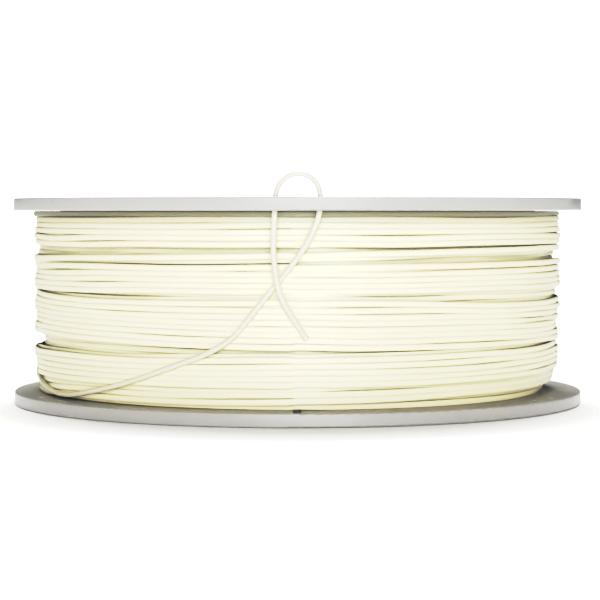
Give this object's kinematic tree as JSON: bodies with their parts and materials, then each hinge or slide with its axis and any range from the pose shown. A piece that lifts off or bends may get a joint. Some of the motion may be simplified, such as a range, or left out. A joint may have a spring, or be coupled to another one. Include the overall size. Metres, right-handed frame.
{
  "type": "filament spool",
  "caption": "Full spool of filament for a desktop 3D printer, lying flat: two flanges screwed to a ribbed barrel with a central bore, and the free end tied through the upper flange.",
  "frame": {"origin": "on the spool's axis at the underside of the lower flange", "axes": "+Z along the spool's axis, from the lower flange to the upper; -Y is the side where the free end of the filament is tied"},
  "size_m": [0.2, 0.2, 0.0798],
  "materials": {
    "spool_plastic": "light grey moulded plastic, slightly glossy",
    "filament": "natural ivory filament, satin and slightly translucent",
    "screw_steel": "zinc plated steel"
  },
  "bodies": {
    "root": {"lower_flange": "spool_plastic", "upper_flange": "spool_plastic", "barrel": "spool_plastic", "lower_flange_screws": "screw_steel", "upper_flange_screws": "screw_steel", "filament_winding": "filament", "filament_inner_end": "filament", "filament_free_end": "filament"}
  },
  "joints": []
}
